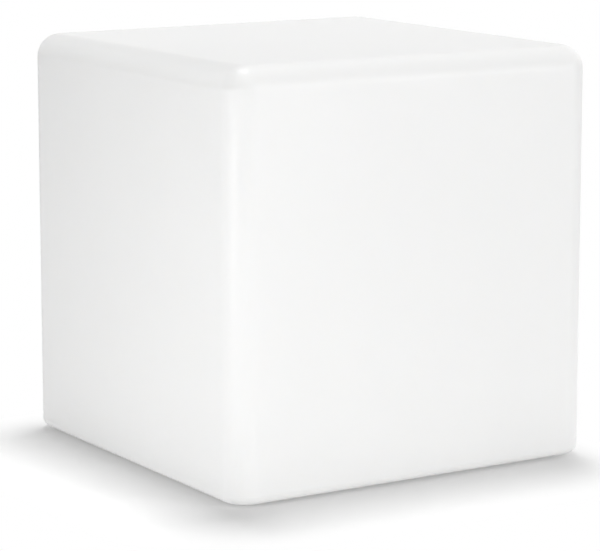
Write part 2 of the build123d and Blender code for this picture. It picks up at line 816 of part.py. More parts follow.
with BuildPart() as screw_shell:
    with BuildSketch(Plane.XY.offset(web_top)):
        Circle(shell_outer)
        Circle(screw_shell_inlet, mode=Mode.SUBTRACT)
        tab_root = screw_shell_inlet + contact_margin
        tab_length = tab_root - terminal_x + contact_width / 2
        with Locations((-tab_root, 0)):
            Rectangle(tab_length, contact_width, align=(Align.MIN, Align.CENTER))
        with Locations((-terminal_x, 0)):
            Circle(rivet_radius + thread_gap, mode=Mode.SUBTRACT)
    extrude(amount=screw_shell_floor)
    with BuildSketch(Plane.XY.offset(web_top)):
        Circle(shell_outer)
        Circle(screw_shell_bore, mode=Mode.SUBTRACT)
    extrude(amount=screw_shell_height)
screw_shell.part.label = "screw_shell"
export_step(screw_shell.part, "parts/screw_shell.step")

with BuildPart() as centre_contact:
    foot_x = terminal_x + contact_width / 2
    rise_x = terminal_x - contact_width / 2 - contact_margin
    tongue_x = rise_x - contact_lift
    with BuildSketch(Plane.XZ):
        with BuildLine():
            Polyline(
                (foot_x, web_top),
                (rise_x, web_top),
                (tongue_x, contact_top - contact_thickness),
                (-contact_reach, contact_top - contact_thickness),
                (-contact_reach, contact_top),
                (tongue_x + contact_thickness / 2, contact_top),
                (rise_x + contact_thickness / 2, web_top + contact_thickness),
                (foot_x, web_top + contact_thickness),
                close=True,
            )
        make_face()
    extrude(amount=contact_width / 2, both=True)
    with BuildSketch(Plane.XY.offset(web_top)):
        with Locations((terminal_x, 0)):
            Circle(rivet_radius + thread_gap)
    extrude(amount=contact_thickness, mode=Mode.SUBTRACT)
centre_contact.part.label = "centre_contact"
export_step(centre_contact.part, "parts/centre_contact.step")

with BuildPart() as contact_rivets:
    for x, plate in ((-terminal_x, screw_shell_floor), (terminal_x, contact_thickness)):
        with BuildSketch(Plane.XY.offset(web_bottom)):
            with Locations((x, 0)):
                Circle(rivet_radius)
        extrude(amount=holder_web + plate)
        with BuildSketch(Plane.XY.offset(web_top + plate)):
            with Locations((x, 0)):
                Circle(rivet_head_radius)
        extrude(amount=rivet_head_height)
contact_rivets.part.label = "contact_rivets"
export_step(contact_rivets.part, "parts/contact_rivets.step")

# The lampholder's two wire clamps, with screws that come in from the sides
clamp_z = web_bottom - terminal_block_size[2] / 2
with BuildPart() as holder_terminals:
    with BuildSketch(Plane.XY.offset(terminal_bottom)):
        with Locations((-terminal_x, 0), (terminal_x, 0)):
            Rectangle(terminal_block_size[0], terminal_block_size[1])
            Circle(tube_bore, mode=Mode.SUBTRACT)
    extrude(amount=terminal_block_size[2])
    with BuildSketch(Plane.YZ.offset(-terminal_x)):
        with Locations((0, clamp_z)):
            Circle(m3_radius + thread_gap)
    extrude(amount=-terminal_block_size[0], mode=Mode.SUBTRACT)
    with BuildSketch(Plane.YZ.offset(terminal_x)):
        with Locations((0, clamp_z)):
            Circle(m3_radius + thread_gap)
    extrude(amount=terminal_block_size[0], mode=Mode.SUBTRACT)
holder_terminals.part.label = "holder_terminals"
export_step(holder_terminals.part, "parts/holder_terminals.step")

with BuildPart() as holder_clamp_screws:
    for side in (-1, 1):
        with BuildSketch(Plane.YZ.offset(side * (terminal_x + conductor_radius + thread_gap))):
            with Locations((0, clamp_z)):
                Circle(m3_radius)
        extrude(amount=side * (terminal_block_size[0] / 2 + clamp_screw_proud))
holder_clamp_screws.part.label = "holder_clamp_screws"
export_step(holder_clamp_screws.part, "parts/holder_clamp_screws.step")

with BuildPart() as holder_seal:
    with BuildSketch(Plane.XY.offset(holder_top)):
        Circle(holder_radius)
        Circle(neck_radius + neck_clearance, mode=Mode.SUBTRACT)
    extrude(amount=holder_seal_height)
    chamfer(holder_seal.edges().group_by(Axis.Z)[-1].sort_by(SortBy.RADIUS)[-1], holder_edge_bevel)
    with BuildSketch(Plane.XY.offset(holder_top)):
        Circle(holder_mouth_radius - thread_gap)
        Circle(holder_mouth_radius - thread_gap - holder_seal_wall, mode=Mode.SUBTRACT)
    extrude(amount=-holder_seal_skirt)
holder_seal.part.label = "holder_seal"
export_step(holder_seal.part, "parts/holder_seal.step")

# Supply terminal block, with two brass tubes and their screws
block_bottom = cap_top + block_pad
pole_z = block_bottom + pole_height
block_top = block_bottom + block_size[2]
pole_spots = [(y, pole_z) for y in pole_rows]
well_spots = [(x, y) for x in (-tube_length / 4, tube_length / 4) for y in pole_rows]
with BuildPart() as terminal_block:
    with BuildSketch(Plane.XY.offset(block_bottom)):
        with Locations((0, block_y)):
            RectangleRounded(block_size[0], block_size[1], block_corner)
    extrude(amount=block_size[2])
    with BuildSketch(Plane.YZ.offset(-block_size[0] / 2)):
        with Locations(*pole_spots):
            Circle(funnel_radius)
    extrude(amount=block_size[0], mode=Mode.SUBTRACT)
    with BuildSketch(Plane.YZ.offset(-tube_length / 2)):
        with Locations(*pole_spots):
            Circle(tube_radius)
    extrude(amount=tube_length, mode=Mode.SUBTRACT)
    with BuildSketch(Plane.XY.offset(block_top)):
        with Locations(*well_spots):
            Circle(m3_radius + hole_gap)
    extrude(amount=pole_z - block_top, mode=Mode.SUBTRACT)
    with BuildSketch(Plane.XY.offset(block_top)):
        with Locations((0, block_y)):
            Circle(m3_radius + hole_gap)
    extrude(amount=-block_size[2], mode=Mode.SUBTRACT)
terminal_block.part.label = "terminal_block"
export_step(terminal_block.part, "parts/terminal_block.step")

with BuildPart() as terminal_tubes:
    with BuildSketch(Plane.YZ.offset(-tube_length / 2)):
        with Locations(*pole_spots):
            Circle(tube_radius)
            Circle(tube_bore, mode=Mode.SUBTRACT)
    extrude(amount=tube_length)
    with BuildSketch(Plane.XY.offset(pole_z)):
        with Locations(*well_spots):
            Circle(m3_radius + thread_gap)
    extrude(amount=tube_radius, mode=Mode.SUBTRACT)
terminal_tubes.part.label = "terminal_tubes"
export_step(terminal_tubes.part, "parts/terminal_tubes.step")

with BuildPart() as terminal_screws:
    with BuildSketch(Plane.XY.offset(pole_z + conductor_radius + thread_gap)):
        with Locations(*well_spots):
            Circle(m3_radius)
    extrude(amount=tube_radius + clamp_screw_proud)
terminal_screws.part.label = "terminal_screws"
export_step(terminal_screws.part, "parts/terminal_screws.step")

with BuildPart() as block_screw:
    reach = block_top - cap_bottom - boss_floor - screw_end_gap
    add(pan_screws([(0, block_y)], block_top, m3_radius, reach, m3_head_radius, m3_head_height, way=-1))
block_screw.part.label = "block_screw"
export_step(block_screw.part, "parts/block_screw.step")

# Inner leads, from the terminal block up through the grommet to the lampholder
lead_start_x = -tube_length / 2
live_route = [
    (lead_start_x, pole_rows[1], pole_z),
    (-14.5, pole_rows[1], pole_z),
    (-19.7, -22, pole_z + 4.4),
    (-21.3, -19.3, pole_z + 11.8),
    (-20, -12.5, pole_z + 19),
    (-12, -4.5, terminal_bottom - 16.5),
    (-terminal_x, 0, terminal_bottom - 10),
    (-terminal_x, 0, terminal_bottom),
]
neutral_route = [
    (lead_start_x, pole_rows[0], pole_z),
    (-14.5, pole_rows[0], pole_z),
    (-20, -31, pole_z + 4.5),
    (-21.5, -28, pole_z + 11.5),
    (-15.5, -21, pole_z + 19),
    (-5, -12, terminal_bottom - 17.5),
    (3.5, -4.5, terminal_bottom - 14.5),
    (terminal_x, 0, terminal_bottom - 9),
    (terminal_x, 0, terminal_bottom),
]


def bend_radii(route):
    """A radius for each inner corner of a route: as large as its two runs allow."""
    points = [Vector(*point) for point in route]
    radii = []
    for before, corner, after in zip(points, points[1:], points[2:]):
        shorter = min((corner - before).length, (after - corner).length)
        turn = (corner - before).get_angle(after - corner)
        radii.append(0.45 * shorter / tan(radians(turn / 2)))
    return radii


for name, route in (("lead_live", live_route), ("lead_neutral", neutral_route)):
    radii = bend_radii(route)
    print(name, "radii", [round(radius, 1) for radius in radii])
    with BuildPart() as lead:
        with BuildLine() as path:
            FilletPolyline(*route, radius=radii)
        with BuildSketch(Plane(origin=route[0], z_dir=(-1, 0, 0))):
            Circle(lead_radius)
        sweep()
        length = path.wires()[0].length
        tube_volume = pi * lead_radius**2 * length
        print(name, "length", round(length, 1), "volume share", round(lead.part.volume / tube_volume, 4))
        with BuildSketch(Plane(origin=route[0], z_dir=(1, 0, 0))):
            Circle(conductor_radius)
        extrude(amount=conductor_length)
        with BuildSketch(Plane(origin=route[-1], z_dir=(0, 0, 1))):
            Circle(conductor_radius)
        extrude(amount=conductor_length)
    lead.part.label = name
    export_step(lead.part, f"parts/{name}.step")

# Lamp: screw cap with its insulator and tip, and a housing with a light board under an opal globe
with BuildPart() as bulb_tip:
    with BuildSketch(Plane.XY.offset(tip_bottom)):
        Circle(tip_radius)
    extrude(amount=tip_height)
    chamfer(bulb_tip.edges().group_by(Axis.Z)[0], tip_edge_bevel)
bulb_tip.part.label = "bulb_tip"
export_step(bulb_tip.part, "parts/bulb_tip.step")

cap_bore = lamp_cap_radius - lamp_cap_wall
spigot = cap_bore - spigot_gap
spigot_bottom = cap_shell_bottom + insulator_spigot
with BuildPart() as bulb_insulator:
    with BuildSketch(Plane.XZ):
        with BuildLine():
            Polyline(
                (0, tip_top),
                (tip_radius + insulator_rim, tip_top),
                (spigot, cap_shell_bottom),
                (spigot, spigot_bottom),
                (0, spigot_bottom),
                close=True,
            )
        make_face()
    revolve(axis=Axis.Z)
bulb_insulator.part.label = "bulb_insulator"
export_step(bulb_insulator.part, "parts/bulb_insulator.step")

with BuildPart() as bulb_cap:
    with BuildSketch(Plane.XZ):
        with BuildLine():
            collar_bottom = cap_shell_top - lamp_collar_height
            Polyline(
                (cap_bore, cap_shell_bottom),
                (lamp_cap_radius, cap_shell_bottom),
                (lamp_cap_radius, collar_bottom),
                (lamp_collar_radius, collar_bottom + lamp_collar_slope),
                (lamp_collar_radius, cap_shell_top),
                (cap_bore, cap_shell_top),
                close=True,
            )
        make_face()
    revolve(axis=Axis.Z)
bulb_cap.part.label = "bulb_cap"
export_step(bulb_cap.part, "parts/bulb_cap.step")

with BuildPart() as bulb_housing:
    with BuildSketch(Plane.XZ):
        with BuildLine():
            outer_foot = (neck_radius, neck_top)
            outer_rim = (globe_foot_radius, flare_top)
            inner_foot = (neck_radius - housing_wall, neck_top)
            inner_rim = (board_radius - board_ledge, board_bottom)
            Polyline(
                inner_foot,
                (spigot - housing_wall, cap_shell_top),
                (spigot - housing_wall, spigot_bottom),
                (spigot, spigot_bottom),
                (spigot, cap_shell_top),
                (neck_radius, cap_shell_top),
                outer_foot,
            )
            Spline(outer_foot, outer_rim, tangents=((0, 1), (0.45, 1)))
            Polyline(
                outer_rim,
                (board_radius + board_gap, flare_top),
                (board_radius + board_gap, board_bottom),
                inner_rim,
            )
            Spline(inner_foot, inner_rim, tangents=((0, 1), (0.3, 1)))
        make_face()
    revolve(axis=Axis.Z)
bulb_housing.part.label = "bulb_housing"
export_step(bulb_housing.part, "parts/bulb_housing.step")

with BuildPart() as bulb_led_board:
    with BuildSketch(Plane.XY.offset(board_bottom)):
        Circle(board_radius)
    extrude(amount=board_thickness)
    with BuildSketch(Plane.XY.offset(board_bottom + board_thickness)):
        with PolarLocations(diode_circle, diode_count):
            Rectangle(diode_size[0], diode_size[1])
    extrude(amount=diode_size[2])
bulb_led_board.part.label = "bulb_led_board"
export_step(bulb_led_board.part, "parts/bulb_led_board.step")

with BuildPart() as bulb_globe:
    with BuildSketch(Plane.XZ):
        with Locations((0, globe_centre_z)):
            Circle(globe_radius)
            Circle(globe_radius - globe_wall, mode=Mode.SUBTRACT)
        with Locations((0, flare_top - globe_radius)):
            Rectangle(4 * globe_radius, 2 * globe_radius, mode=Mode.SUBTRACT)
        with Locations((-globe_radius, globe_centre_z)):
            Rectangle(2 * globe_radius, 4 * globe_radius, mode=Mode.SUBTRACT)
    revolve(axis=Axis.Z)
bulb_globe.part.label = "bulb_globe"
export_step(bulb_globe.part, "parts/bulb_globe.step")
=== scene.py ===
import json
from math import cos, pi, radians, sin

import bmesh
import bpy
from mathutils import Matrix, Vector


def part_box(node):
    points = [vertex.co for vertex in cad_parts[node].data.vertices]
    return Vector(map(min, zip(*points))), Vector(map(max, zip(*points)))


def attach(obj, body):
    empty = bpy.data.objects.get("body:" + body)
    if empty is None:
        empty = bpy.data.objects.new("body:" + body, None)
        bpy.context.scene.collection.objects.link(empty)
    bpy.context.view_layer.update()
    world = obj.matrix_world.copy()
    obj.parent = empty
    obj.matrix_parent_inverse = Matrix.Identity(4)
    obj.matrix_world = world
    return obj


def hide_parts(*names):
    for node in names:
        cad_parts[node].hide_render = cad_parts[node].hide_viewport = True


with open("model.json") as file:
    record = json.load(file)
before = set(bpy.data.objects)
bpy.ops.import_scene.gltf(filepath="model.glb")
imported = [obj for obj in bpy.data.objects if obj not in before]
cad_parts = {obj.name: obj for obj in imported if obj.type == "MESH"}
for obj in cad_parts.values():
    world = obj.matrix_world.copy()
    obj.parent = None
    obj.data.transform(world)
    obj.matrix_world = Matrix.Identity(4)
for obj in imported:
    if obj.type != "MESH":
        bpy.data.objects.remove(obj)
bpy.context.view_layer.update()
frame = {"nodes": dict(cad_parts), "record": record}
nodes = frame["nodes"]
slot_of = {row["node"]: row["material_slot"] for row in frame["record"]["subparts"]}


# Camera: fitted to the photograph's outline, in the 600 by 551 frame
cube_centre = Vector((0, 0, 0.203))
camera_yaw = radians(-32.2)
camera_pitch = radians(9.65)
camera_distance = 2.736
frame_width_px = 600
frame_height_px = 551
focal_px = 2768
axis_px = (304.7, 240.4)
sensor_width_mm = 36


def make_camera():
    """The camera looks at the cube's middle, and its shift sets the optical axis as in the photograph."""
    data = bpy.data.cameras.new("camera")
    data.sensor_width = sensor_width_mm
    data.lens = focal_px / frame_width_px * sensor_width_mm
    data.shift_x = (frame_width_px / 2 - axis_px[0]) / frame_width_px
    data.shift_y = (axis_px[1] - frame_height_px / 2) / frame_width_px
    camera = bpy.data.objects.new("camera", data)
    back = Vector((
        sin(camera_yaw) * cos(camera_pitch),
        -cos(camera_yaw) * cos(camera_pitch),
        sin(camera_pitch),
    ))
    camera.location = cube_centre + back * camera_distance
    camera.rotation_mode = "QUATERNION"
    camera.rotation_quaternion = (-back).to_track_quat("-Z", "Y")
    bpy.context.scene.collection.objects.link(camera)
    bpy.context.scene.camera = camera


# Node materials
noise_low = 0.3
noise_high = 0.7
blotch_share = 0.7


def add_node(tree, kind, inputs=None, **settings):
    """A shader node of that kind; inputs sets or links its sockets, and settings its own properties."""
    node = tree.nodes.new("ShaderNode" + kind)
    for key, value in settings.items():
        setattr(node, key, value)
    for key, value in (inputs or {}).items():
        if isinstance(value, bpy.types.NodeSocket):
            tree.links.new(value, node.inputs[key])
        else:
            node.inputs[key].default_value = value
    return node


def noise(tree, scale, detail=3.0):
    """Noise over the object's own coordinates, with scale in repeats a metre."""
    place = add_node(tree, "TexCoord").outputs["Object"]
    return add_node(tree, "TexNoise", {"Vector": place, "Scale": scale, "Detail": detail}).outputs["Fac"]


def spread(tree, value, low, high):
    """The value, from the range that noise keeps to, spread over low to high."""
    limits = {"Value": value, "From Min": noise_low, "From Max": noise_high, "To Min": low, "To Max": high}
    return add_node(tree, "MapRange", limits).outputs["Result"]


def blend_colours(tree, factor, first, second):
    """The colour between first and second that the factor picks."""
    mix = add_node(tree, "Mix", data_type="RGBA")
    tree.links.new(factor, mix.inputs[0])
    mix.inputs[6].default_value = (*first, 1)
    mix.inputs[7].default_value = (*second, 1)
    return mix.outputs[2]


def tint(colour, share):
    """The colour made lighter or darker by that share."""
    return tuple(min(1.0, part * (1 + share)) for part in colour)


def finish(name, colour, rough, vary=0.02, blotch=60.0, grain=2500.0, depth=0.00002, **shader):
    """A material with blotches of colour and roughness, and a fine grain that stands depth metres high."""
    material = bpy.data.materials.new(name)
    material.use_nodes = True
    tree = material.node_tree
    surface = tree.nodes["Principled BSDF"]
    wide = noise(tree, blotch)
    fine = noise(tree, grain, detail=2.0)
    shares = {0: spread(tree, wide, 0, blotch_share), 1: spread(tree, fine, 0, 1 - blotch_share)}
    tone = add_node(tree, "Math", shares, operation="ADD")
    shades = (tint(colour, -vary), tint(colour, vary))
    tree.links.new(blend_colours(tree, tone.outputs[0], *shades), surface.inputs["Base Color"])
    tree.links.new(spread(tree, wide, rough[0], rough[1]), surface.inputs["Roughness"])
    bump = add_node(tree, "Bump", {"Height": fine, "Distance": depth, "Strength": 1.0})
    tree.links.new(bump.outputs["Normal"], surface.inputs["Normal"])
    for key, value in shader.items():
        surface.inputs[key.replace("_", " ").title()].default_value = value
    return material


materials = {
    "white_polyethylene": finish(
        "polyethylene", (0.875, 0.875, 0.868), (0.42, 0.50), vary=0.004, blotch=14, grain=1800,
        depth=0.000012, subsurface_weight=0.35, subsurface_radius=(1.0, 0.96, 0.9), subsurface_scale=0.006,
    ),
    "carrier_plastic": finish("carrier_plastic", (0.80, 0.80, 0.79), (0.45, 0.6), grain=3500, depth=0.00003),
    "black_rubber": finish("black_rubber", (0.025, 0.025, 0.026), (0.6, 0.8), vary=0.25, depth=0.00004),
    "grey_silicone": finish("grey_silicone", (0.42, 0.43, 0.44), (0.5, 0.65), vary=0.04),
    "stainless_steel": finish(
        "stainless_steel", (0.62, 0.61, 0.60), (0.18, 0.3), blotch=400, grain=4000, depth=0.000004,
        metallic=1.0,
    ),
    "zinc_plated_steel": finish(
        "zinc_plate", (0.68, 0.70, 0.72), (0.30, 0.38), vary=0.04, blotch=300, grain=5000, depth=0.000006,
        metallic=1.0,
    ),
    "brass": finish(
        "brass", (0.78, 0.57, 0.25), (0.2, 0.36), vary=0.04, blotch=300, depth=0.000004, metallic=1.0,
    ),
    "nickel_plate": finish(
        "nickel", (0.70, 0.67, 0.62), (0.12, 0.24), blotch=300, depth=0.000002, metallic=1.0,
    ),
    "lamp_cap_aluminium": finish(
        "aluminium", (0.80, 0.80, 0.81), (0.22, 0.34), blotch=300, depth=0.000003, metallic=1.0,
    ),
    "gland_plastic": finish("gland_plastic", (0.50, 0.51, 0.51), (0.4, 0.55), vary=0.03, grain=3500),
    "porcelain": finish(
        "porcelain", (0.86, 0.85, 0.81), (0.12, 0.2), blotch=120, grain=700, depth=0.00001, coat_weight=0.6,
    ),
    "terminal_plastic": finish("terminal_plastic", (0.82, 0.80, 0.74), (0.45, 0.55), vary=0.02),
    "brown_insulation": finish("brown_insulation", (0.13, 0.05, 0.025), (0.35, 0.5), vary=0.06),
    "blue_insulation": finish("blue_insulation", (0.02, 0.09, 0.40), (0.35, 0.5), vary=0.06),
    "lamp_plastic": finish("lamp_plastic", (0.86, 0.86, 0.85), (0.35, 0.45), vary=0.01),
    "opal_plastic": finish(
        "opal_plastic", (0.92, 0.91, 0.88), (0.3, 0.4), vary=0.01,
        subsurface_weight=0.4, subsurface_scale=0.004,
    ),
    "black_insulator": finish("black_insulator", (0.015, 0.015, 0.017), (0.1, 0.2), vary=0.2),
    "light_board": finish("light_board", (0.82, 0.84, 0.82), (0.3, 0.4), vary=0.02),
}

for name, node in nodes.items():
    node.data.materials.clear()
    node.data.materials.append(materials[slot_of[name]])


# Smooth shading of the CAD nodes: welded faces, drawn as one surface across each edge under the limit
weld_distance = 0.00001
smooth_limit = radians(32)


def make_smoothing():
    """A modifier group that welds a mesh and smooths it across each edge that bends less than the limit."""
    group = bpy.data.node_groups.new("smooth_by_angle", "GeometryNodeTree")
    group.interface.new_socket("Geometry", in_out="INPUT", socket_type="NodeSocketGeometry")
    group.interface.new_socket("Geometry", in_out="OUTPUT", socket_type="NodeSocketGeometry")
    start = group.nodes.new("NodeGroupInput")
    weld = group.nodes.new("GeometryNodeMergeByDistance")
    weld.inputs["Distance"].default_value = weld_distance
    faces = group.nodes.new("GeometryNodeSetShadeSmooth")
    edges = group.nodes.new("GeometryNodeSetShadeSmooth")
    edges.domain = "EDGE"
    bend = group.nodes.new("GeometryNodeInputMeshEdgeAngle")
    under = group.nodes.new("FunctionNodeCompare")
    under.operation = "LESS_EQUAL"
    under.inputs["B"].default_value = smooth_limit
    end = group.nodes.new("NodeGroupOutput")
    group.links.new(start.outputs[0], weld.inputs["Geometry"])
    group.links.new(weld.outputs["Geometry"], faces.inputs["Geometry"])
    group.links.new(faces.outputs["Geometry"], edges.inputs["Geometry"])
    group.links.new(bend.outputs["Unsigned Angle"], under.inputs["A"])
    group.links.new(under.outputs["Result"], edges.inputs["Shade Smooth"])
    group.links.new(edges.outputs["Geometry"], end.inputs[0])
    return group


smoothing = make_smoothing()
for node in nodes.values():
    node.modifiers.new("smooth", "NODES").node_group = smoothing
    flats = node.modifiers.new("flats", "WEIGHTED_NORMAL")
    flats.keep_sharp = True


# Mesh tools: a turned form is a list of rings of points, skinned into one closed mesh
sharp_limit = radians(35)


def ring(radius, z, count):
    """A ring of points about the Z axis; radius is a number, or a function of the angle."""
    angles = [2 * pi * i / count for i in range(count)]
    radii = [radius(angle) if callable(radius) else radius for angle in angles]
    return [Vector((r * cos(angle), r * sin(angle), z)) for r, angle in zip(radii, angles)]


def thread_rings(root, crest, pitch, start, end, count, steps=8, outward=True):
    """Rings with a right-handed thread, run out at both ends to its root, or if not outward to its crest."""
    rows = max(2, round(abs(end - start) / pitch * steps))
    rings = []
    for row in range(rows + 1):
        z = start + (end - start) * row / rows
        fade = min(1.0, abs(z - start) / pitch, abs(end - z) / pitch)

        def radius(angle, z=z, fade=fade):
            wave = 0.5 + 0.5 * cos(2 * pi * z / pitch - angle)
            return root + (crest - root) * (fade * wave if outward else 1 - fade * (1 - wave))

        rings.append(ring(radius, z, count))
    return rings


def skin(mesh, rings, place=Matrix.Identity(4), closed=False, caps=(True, True)):
    """Faces between each ring and the next; closed joins the last to the first, and caps fill the ends."""
    rows = [[mesh.verts.new(place @ point) for point in points] for points in rings]
    for low, high in zip(rows, rows[1:] + rows[:1] if closed else rows[1:]):
        for i, j in around(low):
            mesh.faces.new((low[i], low[j], high[j], high[i]))
    if not closed and caps[0]:
        mesh.faces.new(rows[0])
    if not closed and caps[1]:
        mesh.faces.new(rows[-1])
    return rows


def around(loop):
    """Pairs of neighbouring places in a loop."""
    return [(i, (i + 1) % len(loop)) for i in range(len(loop))]


def rings_of(profile, count):
    """The rings of a profile, which holds (radius, z) points and ready rings."""
    return [row if isinstance(row, list) else ring(*row, count) for row in profile]


def sink(mesh, rim, outline, top, bottom, place, taper):
    """A recess with that outline in the flat face inside the rim, narrowed by the taper at its floor."""
    upper = [mesh.verts.new(place @ Vector((x, y, top))) for x, y in outline]
    lower = [mesh.verts.new(place @ Vector((x * taper, y * taper, bottom))) for x, y in outline]
    for i, j in around(upper):
        mesh.faces.new((upper[i], upper[j], lower[j], lower[i]))
    mesh.faces.new(lower)
    edges = [mesh.edges.get((loop[i], loop[j])) for loop in (rim, upper) for i, j in around(loop)]
    bmesh.ops.triangle_fill(mesh, use_beauty=True, edges=edges)


def add_piece(name, mesh, slot, body, *replaced):
    """The finished mesh as a piece that rides on a body and stands for the CAD nodes named."""
    bmesh.ops.recalc_face_normals(mesh, faces=mesh.faces)
    data = bpy.data.meshes.new(name)
    mesh.to_mesh(data)
    mesh.free()
    data.polygons.foreach_set("use_smooth", [True] * len(data.polygons))
    data.set_sharp_from_angle(angle=sharp_limit)
    data.materials.append(materials[slot])
    piece = bpy.data.objects.new(name, data)
    bpy.context.scene.collection.objects.link(piece)
    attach(piece, body)
    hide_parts(*replaced)


def turned(name, body, replaced, profile, centre=(0, 0, 0), count=64):
    """A closed turned piece from the profile, which stands for the CAD node and keeps its material."""
    mesh = bmesh.new()
    skin(mesh, rings_of(profile, count), Matrix.Translation(centre), closed=True)
    add_piece(name, mesh, slot_of[replaced], body, replaced)


# Screws: pan heads with a cross recess, and slotted grub screws, all with their threads
pan_heads = {
    "M5": {"head": 0.00475, "height": 0.0031, "radius": 0.0025, "pitch": 0.0008},
    "M4": {"head": 0.0038, "height": 0.0026, "radius": 0.0020, "pitch": 0.0007},
    "M3": {"head": 0.0027, "height": 0.0018, "radius": 0.0015, "pitch": 0.0005},
}
clamp_depth = 0.0032
screw_count = 32
screw_steps = 5

# Shares of the head's radius and height, the thread's pitch, or the shank's radius
head_curve = [(0.62, 1.0), (0.80, 0.93), (0.94, 0.72), (1.0, 0.38), (1.0, 0.06), (0.97, 0.0)]
pan_thread_depth = 0.6
pan_tip = 0.6
pan_tip_length = 0.4
cross_reach = 0.54
cross_half = 0.10
cross_floor = 0.35
cross_taper = 0.6
grub_thread_depth = 0.55
grub_lead = 0.2
grub_foot = 0.7
grub_rim = 0.88
slot_reach = 0.62
slot_half = 0.15
slot_depth = 0.6
slot_taper = 0.95


def pan_screw(mesh, place, length, head, height, radius, pitch):
    """One screw whose head bears on the place's XY plane from below, with its shank up the Z axis."""
    root = radius - pan_thread_depth * pitch
    end = length - root * pan_tip_length
    rings = [ring(head * out, -height * down, screw_count) for out, down in head_curve]
    rings += thread_rings(root, radius, pitch, 0, end, screw_count, steps=screw_steps)
    rings.append(ring(pan_tip * root, length, screw_count))
    rim = skin(mesh, rings, place, caps=(False, True))[0]
    arm, half = cross_reach * head, cross_half * head
    outline = []
    for quarter in range(4):
        along = (cos(quarter * pi / 2), sin(quarter * pi / 2))
        for reach, side in ((arm, -half), (arm, half), (half, half)):
            outline.append((reach * along[0] - side * along[1], reach * along[1] + side * along[0]))
    sink(mesh, rim, outline, -height, -cross_floor * height, place, cross_taper)


def grub_screw(mesh, place, length, radius, pitch):
    """One headless screw up the place's Z axis, with a slot across its top."""
    root = radius - grub_thread_depth * pitch
    start, end = grub_lead * radius, length - grub_lead * radius
    rings = [ring(grub_foot * root, 0, screw_count)]
    rings += thread_rings(root, radius, pitch, start, end, screw_count, steps=screw_steps)
    rings.append(ring(grub_rim * root, length, screw_count))
    rim = skin(mesh, rings, place, caps=(True, False))[-1]
    arm, half = slot_reach * root, slot_half * radius
    outline = [(arm, half), (-arm, half), (-arm, -half), (arm, -half)]
    sink(mesh, rim, outline, length, length - slot_depth * radius, place, slot_taper)


def pan_screws(node, body, size, spots, way=1):
    """The node's screws with their threads; way 1 has the heads below, and -1 above."""
    low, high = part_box(node)
    values = pan_heads[size]
    seat = low.z + values["height"] if way == 1 else high.z - values["height"]
    length = high.z - seat if way == 1 else seat - low.z
    turn = Matrix.Rotation(0 if way == 1 else pi, 4, "X")
    mesh = bmesh.new()
    for x, y in spots:
        pan_screw(mesh, Matrix.Translation((x, y, seat)) @ turn, length, **values)
    add_piece(node + "_threaded", mesh, slot_of[node], body, node)


def reach_of(node, size):
    """How far the node's outer screws stand from the middle, along X and Y."""
    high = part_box(node)[1]
    head = pan_heads[size]["head"]
    return high.x - head, high.y - head


foot_x, foot_y = reach_of("foot_screws", "M5")
ring_circle = reach_of("ring_screws", "M5")[0]
bracket_y = reach_of("bracket_screws", "M4")[1]
holder_y = reach_of("holder_screws", "M4")[1]
block_y = sum(corner.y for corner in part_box("block_screw")) / 2
foot_spots = [(x * foot_x, y * foot_y) for x in (-1, 1) for y in (-1, 1)]
ring_spots = [(ring_circle * cos(i * pi / 3), ring_circle * sin(i * pi / 3)) for i in range(6)]
pan_screws("foot_screws", "body", "M5", foot_spots)
pan_screws("ring_screws", "body", "M5", ring_spots)
pan_screws("bracket_screws", "carrier", "M4", [(0, -bracket_y), (0, bracket_y)], way=-1)
pan_screws("holder_screws", "carrier", "M4", [(0, -holder_y), (0, holder_y)], way=-1)
pan_screws("block_screw", "carrier", "M3", [(0, block_y)], way=-1)


def make_terminal_screws():
    """Four upright grub screws over the supply terminals' tubes."""
    low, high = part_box("terminal_screws")
    radius, pitch = pan_heads["M3"]["radius"], pan_heads["M3"]["pitch"]
    mesh = bmesh.new()
    for x in (low.x + radius, high.x - radius):
        for y in (low.y + radius, high.y - radius):
            grub_screw(mesh, Matrix.Translation((x, y, low.z)), high.z - low.z, radius, pitch)
    add_piece("terminal_screws_slotted", mesh, slot_of["terminal_screws"], "carrier", "terminal_screws")


def make_clamp_screws():
    """Two level grub screws that clamp the inner leads under the lampholder."""
    low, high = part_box("holder_clamp_screws")
    radius, pitch = pan_heads["M3"]["radius"], pan_heads["M3"]["pitch"]
    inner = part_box("holder_terminals")[1].x - clamp_depth
    height = (low.z + high.z) / 2
    mesh = bmesh.new()
    for side in (-1, 1):
        place = Matrix.Translation((side * inner, 0, height)) @ Matrix.Rotation(side * pi / 2, 4, "Y")
        grub_screw(mesh, place, high.x - inner, radius, pitch)
    slot = slot_of["holder_clamp_screws"]
    add_piece("clamp_screws_slotted", mesh, slot, "carrier", "holder_clamp_screws")


make_terminal_screws()
make_clamp_screws()


# Brass inserts, moulded into the body, with a knurl on each side of a groove
knurl_depth = 0.0003
knurl_teeth = 24
knurl_bevel = 0.0006
tooth_points = 4
groove_depth = 0.00075
insert_thread_gap = 0.0001


